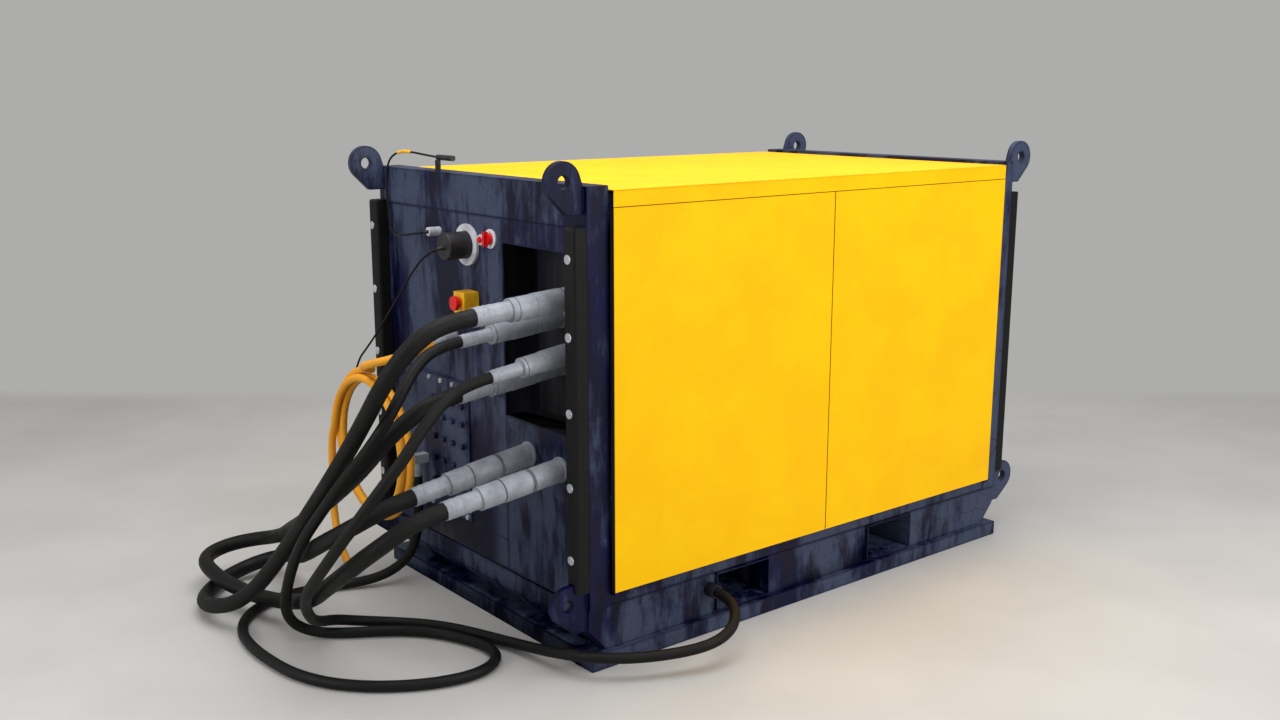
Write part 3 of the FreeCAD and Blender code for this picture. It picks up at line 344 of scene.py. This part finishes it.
HOSE_3 = (
    (-1.602, -0.614, 1.200), (-1.712, -0.616, 1.186), (-1.815, -0.625, 1.135),
    (-1.910, -0.640, 1.055), (-1.990, -0.645, 0.960), (-2.070, -0.620, 0.860),
    (-2.135, -0.570, 0.750), (-2.185, -0.490, 0.630), (-2.205, -0.370, 0.500),
    (-2.195, -0.220, 0.375), (-2.145, -0.090, 0.262), (-2.080, 0.010, 0.165),
    (-2.010, 0.090, 0.108), (-1.920, 0.130, 0.080), (-1.810, 0.130, 0.044),
    (-1.690, 0.075, 0.024), (-1.585, -0.035, 0.024), (-1.505, -0.170, 0.024),
    (-1.452, -0.310, 0.026), (-1.418, -0.440, 0.034), (-1.400, -0.560, 0.050),
    (-1.390, -0.680, 0.072), (-1.365, -0.790, 0.090), (-1.310, -0.880, 0.095),
    (-1.215, -0.950, 0.092), (-1.110, -1.005, 0.092), (-1.010, -1.050, 0.098),
    (-0.920, -1.080, 0.108), (-0.835, -1.085, 0.125), (-0.760, -1.055, 0.145),
    (-0.700, -1.000, 0.165), (-0.665, -0.922, 0.185), (-0.659, -0.840, 0.187))
HOSE_4 = (
    (-1.595, -0.395, 1.301), (-1.700, -0.395, 1.291), (-1.800, -0.415, 1.235),
    (-1.882, -0.448, 1.150), (-1.952, -0.450, 1.045), (-2.012, -0.400, 0.935),
    (-2.065, -0.310, 0.815), (-2.102, -0.200, 0.680), (-2.130, -0.080, 0.545),
    (-2.142, 0.020, 0.405), (-2.135, 0.110, 0.270), (-2.118, 0.180, 0.160),
    (-2.075, 0.200, 0.075), (-1.995, 0.165, 0.030), (-1.895, 0.095, 0.024),
    (-1.790, 0.035, 0.024), (-1.680, -0.045, 0.024), (-1.595, -0.145, 0.024),
    (-1.540, -0.260, 0.024), (-1.505, -0.375, 0.024), (-1.515, -0.480, 0.024),
    (-1.585, -0.550, 0.024), (-1.690, -0.575, 0.024), (-1.815, -0.550, 0.024),
    (-1.940, -0.490, 0.024), (-2.060, -0.400, 0.024), (-2.160, -0.280, 0.024),
    (-2.225, -0.130, 0.024), (-2.250, 0.050, 0.024), (-2.255, 0.220, 0.024),
    (-2.230, 0.385, 0.024), (-2.150, 0.525, 0.024), (-2.030, 0.610, 0.024),
    (-1.890, 0.640, 0.024), (-1.750, 0.620, 0.024), (-1.620, 0.570, 0.026),
    (-1.500, 0.515, 0.050), (-1.405, 0.475, 0.110), (-1.360, 0.455, 0.200),
    (-1.345, 0.445, 0.300), (-1.345, 0.440, 0.410), (-1.345, 0.440, 0.520))
YELLOW_LEAD = (
    (-1.400, 0.160, 1.178), (-1.470, 0.160, 1.161), (-1.545, 0.175, 1.143),
    (-1.605, 0.215, 1.125), (-1.635, 0.280, 1.105), (-1.630, 0.355, 1.082),
    (-1.595, 0.425, 1.058), (-1.550, 0.478, 1.038), (-1.505, 0.515, 1.024))
YELLOW_TAIL = (
    (-1.518, 0.945, 0.618), (-1.516, 0.960, 0.500), (-1.520, 0.960, 0.380),
    (-1.530, 0.940, 0.260), (-1.540, 0.890, 0.155), (-1.548, 0.815, 0.075),
    (-1.553, 0.725, 0.028), (-1.555, 0.640, 0.020))
CONTROL_CABLE = (
    (-1.406, 0.035, 1.605), (-1.440, 0.036, 1.600), (-1.472, 0.058, 1.580),
    (-1.486, 0.105, 1.540), (-1.484, 0.170, 1.490), (-1.478, 0.250, 1.425),
    (-1.473, 0.330, 1.359), (-1.472, 0.410, 1.288), (-1.476, 0.485, 1.215),
    (-1.484, 0.550, 1.150), (-1.493, 0.607, 1.095), (-1.498, 0.660, 1.050),
    (-1.498, 0.696, 0.992))
BEACON_CABLE = (
    (-1.342, 0.275, 1.646), (-1.368, 0.276, 1.644), (-1.392, 0.292, 1.640),
    (-1.404, 0.330, 1.634), (-1.400, 0.395, 1.625), (-1.380, 0.470, 1.616),
    (-1.350, 0.560, 1.610), (-1.318, 0.645, 1.622), (-1.302, 0.695, 1.680),
    (-1.299, 0.711, 1.770), (-1.298, 0.710, 1.870), (-1.286, 0.698, 1.940),
    (-1.258, 0.645, 1.972), (-1.243, 0.555, 1.968), (-1.238, 0.452, 1.960),
    (-1.238, 0.350, 1.955))


def coil_points():
    """The yellow hose's turns: each pass lies a third of the way round the last one's section."""
    low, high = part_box("yellow_coil")
    centre = (low + high) / 2
    section = (high.x - low.x) / 2
    mean_radius = (high.z - low.z) / 2 - section
    inset = 0.5 * MM
    spread = section - YELLOW_HOSE / 2 - inset
    per_turn = 14
    turns = 2.25
    lead_in = 0.28
    passes = 3
    points = []
    for step in range(int(per_turn * turns) + 1):
        turn = (step + lead_in) / per_turn
        angle = math.radians(90) - math.tau * turn
        drift = math.tau * turn / passes
        radius = mean_radius + spread * math.cos(drift)
        points.append((centre.x + spread * math.sin(drift), centre.y + radius * math.cos(angle),
                       centre.z + radius * math.sin(angle)))
    return points


YELLOW_ROUTE = (*YELLOW_LEAD, *coil_points(), *YELLOW_TAIL)

hose_1 = cord_curve("hose_1_line", BIG_HOSE, HOSE_1, "hose_rubber")
hose_2 = cord_curve("hose_2_line", BIG_HOSE, HOSE_2, "hose_rubber")
hose_3 = cord_curve("hose_3_line", SMALL_HOSE, HOSE_3, "hose_rubber")
hose_4 = cord_curve("hose_4_line", SMALL_HOSE, HOSE_4, "hose_rubber")
yellow = cord_curve("yellow_hose_line", YELLOW_HOSE, YELLOW_ROUTE, "yellow_rubber")
control = cord_curve("control_cable_line", THIN_CABLE, CONTROL_CABLE, "black_rubber")
beacon = cord_curve("beacon_cable_line", THIN_CABLE, BEACON_CABLE, "black_rubber")
for line, *stood_for in ((hose_1, "hose_1"), (hose_2, "hose_2"), (hose_3, "hose_3"),
                         (hose_4, "hose_4"), (yellow, "yellow_hose", "yellow_coil"),
                         (control, "control_cable"), (beacon, "beacon_cable")):
    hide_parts(*stood_for)


# ---- mesh helpers ----

MERGE_WITHIN = 0.02 * MM
FLAT_BELOW = 1.0  # degrees between two facets of one face
SHARP_ABOVE = 35.0  # degrees across an edge that gets a bevel


def finished(name, shape, slot, body="frame", smooth_below=32.0):
    """A piece from a bmesh, smooth across edges blunter than the given angle in degrees."""
    mesh = bpy.data.meshes.new(name)
    bmesh.ops.recalc_face_normals(shape, faces=shape.faces)
    shape.to_mesh(mesh)
    shape.free()
    if "custom_normal" in mesh.attributes:
        mesh.attributes.remove(mesh.attributes["custom_normal"])
    mesh.materials.clear()
    mesh.materials.append(materials[slot])
    mesh.shade_smooth()
    mesh.set_sharp_from_angle(angle=math.radians(smooth_below))
    made = bpy.data.objects.new(name, mesh)
    scene.collection.objects.link(made)
    even = made.modifiers.new("even_normals", "WEIGHTED_NORMAL")
    even.keep_sharp = True
    even.weight = 90
    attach(made, body)
    return made


def refined(node, bevel):
    """Stands for a CAD node: its facets joined into faces, and its sharp edges rounded."""
    shape = bmesh.new()
    shape.from_mesh(nodes[node].data)
    bmesh.ops.remove_doubles(shape, verts=shape.verts, dist=MERGE_WITHIN)
    bmesh.ops.dissolve_limit(shape, angle_limit=math.radians(FLAT_BELOW), verts=shape.verts,
                             edges=shape.edges)
    sharp = [edge for edge in shape.edges if len(edge.link_faces) == 2
             and edge.calc_face_angle(0.0) > math.radians(SHARP_ABOVE)]
    bmesh.ops.bevel(shape, geom=sharp, offset=bevel, segments=2, profile=0.5, affect="EDGES",
                    clamp_overlap=True)
    made = finished(node + "_piece", shape, slot_of[node], nodes[node]["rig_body"])
    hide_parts(node)
    return made


def islands(shape):
    """The connected groups of a bmesh's faces, in the order of their first faces."""
    grouped = set()
    for first in shape.faces:
        if first in grouped:
            continue
        grouped.add(first)
        group = [first]
        for face in group:
            for edge in face.edges:
                for other in edge.link_faces:
                    if other not in grouped:
                        grouped.add(other)
                        group.append(other)
        yield group


def refined_parts(node, bevel):
    """As refined, with a piece of its own for each solid of the node."""
    whole = refined(node, bevel)
    shape = bmesh.new()
    shape.from_mesh(whole.data)
    bpy.data.objects.remove(whole)
    parts = []
    for group in islands(shape):
        points = {}
        part = bmesh.new()
        for face in sorted(group, key=lambda face: face.index):
            for vert in face.verts:
                if vert.index not in points:
                    points[vert.index] = part.verts.new(vert.co)
            part.faces.new([points[vert.index] for vert in face.verts])
        made = finished(f"{node}_{len(parts) + 1}", part, slot_of[node], nodes[node]["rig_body"])
        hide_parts(node)
        parts.append(made)
    shape.free()
    return parts


def near(parts, place, reach):
    """The parts whose middle lies within reach of a place."""
    found = []
    for part in parts:
        corners = [Vector(corner) for corner in part.bound_box]
        middle = sum(corners, Vector()) / len(corners)
        if (middle - Vector(place)).length < reach:
            found.append(part)
    return found


def ring(shape, place, radius, around):
    """A circle of vertices about the Z axis of a place, which is a matrix."""
    return [shape.verts.new(place @ Vector((radius * math.cos(math.tau * k / around),
                                            radius * math.sin(math.tau * k / around), 0)))
            for k in range(around)]


def skin(shape, rings):
    """Faces from each ring to the next."""
    for first, second in zip(rings, rings[1:]):
        around = len(first)
        for k in range(around):
            after = (k + 1) % around
            shape.faces.new((first[k], first[after], second[after], second[k]))


def solid_skin(shape, rings):
    """A skin that is closed at both ends."""
    skin(shape, rings)
    shape.faces.new(rings[0])
    shape.faces.new(rings[-1])


def turned(name, start, way, profile, slot, around=48):
    """A turned piece: profile is (distance along way, radius) pairs, closed at both ends."""
    spin = Vector(way).normalized().to_track_quat("Z", "Y").to_matrix().to_4x4()
    place = Matrix.Translation(start) @ spin
    shape = bmesh.new()
    solid_skin(shape, [ring(shape, place @ Matrix.Translation((0, 0, along)), radius, around)
                       for along, radius in profile])
    return finished(name, shape, slot, smooth_below=40.0)


def paint_where(piece, slot, chosen):
    """The faces of a piece that chosen(face) picks take another material."""
    piece.data.materials.append(materials[slot])
    for face in piece.data.polygons:
        if chosen(face):
            face.material_index = 1


def not_facing(outward, limit):
    """Picks the faces that look less towards outward than the limit, a cosine."""
    return lambda face: face.normal.dot(Vector(outward)) < limit


# ---- the frame, panels and machinery ----

BEVELS = {  # mm
    "skid_frame": 3.0, "base_beams": 4.0, "fork_pockets": 2.0, "deck_plate": 1.0,
    "corner_posts": 6.0, "end_beams": 5.0, "side_rails": 3.0, "upper_padeyes": 2.5,
    "lower_padeyes": 2.5, "corner_fenders": 10.0, "fender_bolts": 1.5, "control_panel": 1.2,
    "manifold_panel": 1.5, "coupling_bulkhead": 1.2,
    "manifold_fittings": 0.8, "rear_end_panel": 1.5, "roof_lid": 3.0, "front_door_left": 1.8,
    "front_door_right": 1.8, "rear_door_left": 1.8, "rear_door_right": 1.8, "door_pivots": 1.0,
    "panel_rings": 1.2, "socket_plug": 4.0, "reset_button": 1.5, "isolator_knob": 1.5,
    "estop_box": 3.0, "estop_button": 2.0, "cable_plug": 2.5, "cable_bracket": 0.8,
    "coupling_bodies": 1.5, "motor_housing": 2.0, "motor_rotor": 1.0,
    "bellhousing": 2.0, "hydraulic_pump": 3.0, "oil_tank": 3.0, "filler_cap": 2.0,
    "return_filter": 2.0, "oil_cooler": 2.0, "fan_shroud": 1.5, "cooler_fan": 0.6,
    "valve_manifold": 2.0, "valve_lever": 1.0, "control_cabinet": 2.0,
}
pieces = {node: refined(node, width * MM) for node, width in BEVELS.items()}
fittings = refined_parts("hose_fittings", 2.0 * MM)
refined_parts("side_panels", 1.2 * MM)

# The port below the front doors and the sunken couplings' bulkhead take painted shade, for the shade
# under the doors and in the recess.
port_middle = Vector(HOSE_3[-1]) + Vector((0, 25 * MM, 0))
side_port = near(fittings, port_middle, reach=50 * MM)
for piece in [*side_port, pieces["coupling_bulkhead"]]:
    piece.data.materials[0] = materials["painted_shade"]

DOOR_EDGE = 0.3  # a door's outside colour reaches over its bevel as far as this cosine; the door's edges and back beyond it take painted shade
LID_UNDERSIDE = -0.5
# The doors' edges and backs, and the lid's faces that look down, take painted shade, so the gaps
# between doors and below the lid read dark.
for side, outward in (("front", (0, -1, 0)), ("rear", (0, 1, 0))):
    for leaf in ("left", "right"):
        paint_where(pieces[f"{side}_door_{leaf}"], "painted_shade", not_facing(outward, DOOR_EDGE))
paint_where(pieces["roof_lid"], "painted_shade", not_facing((0, 0, 1), LID_UNDERSIDE))

# The manifold panel's plugs are painted over; its top and bottom rows of fittings are bright.
bright_row = 70 * MM
low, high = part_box("manifold_panel")
paint_where(pieces["manifold_fittings"], "navy_paint",
            lambda face: low.z + bright_row < face.center.z < high.z - bright_row)


# ---- couplings ----

HOSE_AT = {1: HOSE_1[0], 2: HOSE_4[0], 3: HOSE_3[0], 4: HOSE_2[0], 5: HOSE_1[-1], 6: HOSE_2[-1]}
SUNKEN_COUPLINGS = (1, 2, 3, 4)
BIG_COUPLINGS = (1, 4, 5, 6)
BIG_COLLAR = 47 * MM
SMALL_COLLAR = 40 * MM
SEAMS = ((0.28, -4.5 * MM, 0.5 * MM), (0.53, 0.5 * MM, -0.4 * MM))  # share of length, shift, proud
SEAM_DEPTH = 2 * MM
CRIMPS = (0.80, 0.86, 0.92)
CRIMP_HEIGHT = 1.2 * MM


def coupling_line(number):
    """(panel end, direction, length) of a coupling's axis, from its collar and its hose."""
    low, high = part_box(f"coupling_collar_{number}")
    centre = (low + high) / 2
    end = Vector(HOSE_AT[number])
    way = (end - centre).normalized()
    plate = "coupling_bulkhead" if number in SUNKEN_COUPLINGS else "side_panels"
    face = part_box(plate)[0].x
    start = centre + way * ((face - centre.x) / way.x)
    return start, way, (end - start).length


def add_coupling_details(number):
    """Dark seams between a coupling's parts, and crimps round its ferrule."""
    start, way, length = coupling_line(number)
    big = number in BIG_COUPLINGS
    ferrule = (BIG_HOSE if big else SMALL_HOSE) / 2 + 4 * MM
    collar = BIG_COLLAR if big else SMALL_COLLAR
    for share, shift, proud in SEAMS:
        outer = collar + proud
        inner = outer - SEAM_DEPTH
        turned(f"seam_{number}_{round(share * 100)}", start + way * (length * share + shift), way,
               ((0, inner), (0.4 * MM, outer), (3.6 * MM, outer), (4 * MM, inner)), "cast_grey")
    for share in CRIMPS:
        crest = ferrule + CRIMP_HEIGHT
        turned(f"crimp_{number}_{round(share * 100)}", start + way * (length * share), way,
               ((0, ferrule), (2 * MM, crest), (6 * MM, crest), (8 * MM, ferrule)), "grey_coupling")


for number in HOSE_AT:
    refined(f"coupling_collar_{number}", 2.0 * MM)
for number in HOSE_AT:
    add_coupling_details(number)


# ---- weld beads ----

WELD_SPANS = {"upper_padeyes": (1.802, 1.892), "lower_padeyes": (0.258, 0.352)}
WELD_RADIUS = 3.6 * MM
WELD_RIPPLE = 0.7 * MM
WELD_PITCH = 6 * MM
PADEYE_HALF = 15 * MM  # half a padeye's thickness


def weld_bead(shape, x, y, low_z, high_z):
    """One rippled bead up a post, thinner at both ends."""
    steps_per_ripple = 3
    around = 8
    count = int((high_z - low_z) / WELD_PITCH * steps_per_ripple)
    rings = []
    for step in range(count + 1):
        taper = max(0.1, min(1.0, step / 3, (count - step) / 3))
        swell = math.sin(math.tau * step / steps_per_ripple)
        radius = (WELD_RADIUS + WELD_RIPPLE * swell) * taper
        z = low_z + (high_z - low_z) * step / count
        rings.append(ring(shape, Matrix.Translation((x, y, z)), radius, around))
    skin(shape, rings)


def add_weld_beads():
    """The beads on both sides of each padeye, where it meets its corner post."""
    shape = bmesh.new()
    face_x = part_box("corner_posts")[1].x
    for node, (low_z, high_z) in WELD_SPANS.items():
        centre_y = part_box(node)[1].y - PADEYE_HALF
        for x_side, y_side, bead_side in itertools.product((-1, 1), repeat=3):
            weld_bead(shape, x_side * face_x, y_side * centre_y + bead_side * PADEYE_HALF,
                      low_z, high_z)
    finished("padeye_welds", shape, "navy_paint", smooth_below=60.0)


add_weld_beads()


# ---- cable details ----

def relief(name, route, length, wide, thin):
    """A tapered strain relief with grooves, along a cable's first run."""
    way = Vector(route[1]) - Vector(route[0])
    ribs = 4
    steps_per_rib = 4
    groove = 0.6 * MM
    profile = []  # each rib's second half is a groove
    for step in range(ribs * steps_per_rib + 1):
        share = step / (ribs * steps_per_rib)
        depth = groove if step % steps_per_rib >= steps_per_rib / 2 else 0.0
        profile.append((length * share, wide + (thin - wide) * share - depth))
    return turned(name, route[0], way, profile, "black_plastic", around=32)


def line_points(cord):
    """Points along a cord's own spline."""
    bare = cord.copy()
    bare.data = cord.data.copy()
    bare.data.bevel_depth = 0.0
    bare.data.use_fill_caps = False
    scene.collection.objects.link(bare)
    mesh = bpy.data.meshes.new_from_object(bare.evaluated_get(
        bpy.context.evaluated_depsgraph_get()))
    points = [vertex.co.copy() for vertex in mesh.vertices]
    bpy.data.meshes.remove(mesh)
    bpy.data.objects.remove(bare)
    return points


def sleeve(name, cord, first, last, radius, slot):
    """A thin sleeve round a stretch of a cord, between two shares of its points."""
    drawn_in = 0.82
    around = 20
    line = line_points(cord)
    stretch = line[round(first * len(line)):round(last * len(line))]
    end = len(stretch) - 1
    shape = bmesh.new()
    rings = []
    for index, point in enumerate(stretch):
        way = stretch[min(index + 1, end)] - stretch[max(index - 1, 0)]
        place = Matrix.Translation(point) @ way.to_track_quat("Z", "Y").to_matrix().to_4x4()
        size = drawn_in if index in (0, end) else 1.0
        rings.append(ring(shape, place, radius * size, around))
    solid_skin(shape, rings)
    return finished(name, shape, slot)


control_relief = relief("control_cable_relief", CONTROL_CABLE, 30 * MM, 10 * MM, 6 * MM)
beacon_relief = relief("beacon_cable_relief", BEACON_CABLE, 22 * MM, 9 * MM, 6 * MM)
beacon_sleeve = sleeve("beacon_cable_sleeve", beacon, 0.80, 0.88, 7.5 * MM, "yellow_plastic")


# ---- floor and light ----

def studio_floor():
    """A pale floor whose far side fades into the background."""
    half_width = 14.0
    near_y = -12.0
    far_y = 9.6
    fade_start = 9.05
    fade_end = 9.55
    f = Finish("studio_floor")
    mottle = f.noise(1.2, 4.0)
    f.set(Base_Color=f.mix(f.steps(mottle, 0.3, 0.7), colour(186, 184, 182), colour(194, 192, 190)),
          Roughness=0.55, Specular_IOR_Level=0.2)
    across = f.add("SeparateXYZ", {0: f.place}).outputs["Y"]
    f.set(Alpha=f.steps(across, fade_end, fade_start))
    mesh = bpy.data.meshes.new("studio_floor")
    mesh.from_pydata([(-half_width, near_y, 0), (half_width, near_y, 0), (half_width, far_y, 0),
                      (-half_width, far_y, 0)], [], [(0, 1, 2, 3)])
    mesh.materials.append(f.material)
    made = bpy.data.objects.new("studio_floor", mesh)
    made.location = (CAMERA_PLACE[0], CAMERA_PLACE[1], -0.5 * MM)
    made.rotation_euler = (0, 0, math.radians(CAMERA_HEADING))
    scene.collection.objects.link(made)


def area_light(name, place, target, size, power):
    """A soft rectangular light, turned towards its target."""
    data = bpy.data.lights.new(name, "AREA")
    data.shape = "RECTANGLE"
    data.size, data.size_y = size
    data.energy = power
    made = bpy.data.objects.new(name, data)
    made.location = place
    made.rotation_euler = (Vector(target) - Vector(place)).to_track_quat("-Z", "Y").to_euler()
    scene.collection.objects.link(made)


def studio_light():
    """A big soft light overhead, softer ones from the camera's side, and a grey surround."""
    world = bpy.data.worlds.new("studio")
    world.use_nodes = True
    background = world.node_tree.nodes["Background"]
    background.inputs["Color"].default_value = (0.42, 0.418, 0.412, 1.0)
    background.inputs["Strength"].default_value = 1.0
    scene.world = world
    scene.view_settings.view_transform = "Standard"
    middle = (-0.3, 0, 0.9)
    connection_end = (-1.4, 0, 0.9)
    area_light("overhead", (-0.5, -0.6, 5.2), middle, (6.0, 5.0), 260)
    area_light("front", (0.8, -6.5, 3.2), middle, (4.5, 3.0), 190)
    area_light("end", (-6.8, 0.4, 2.8), connection_end, (3.5, 3.0), 120)


studio_floor()
studio_light()
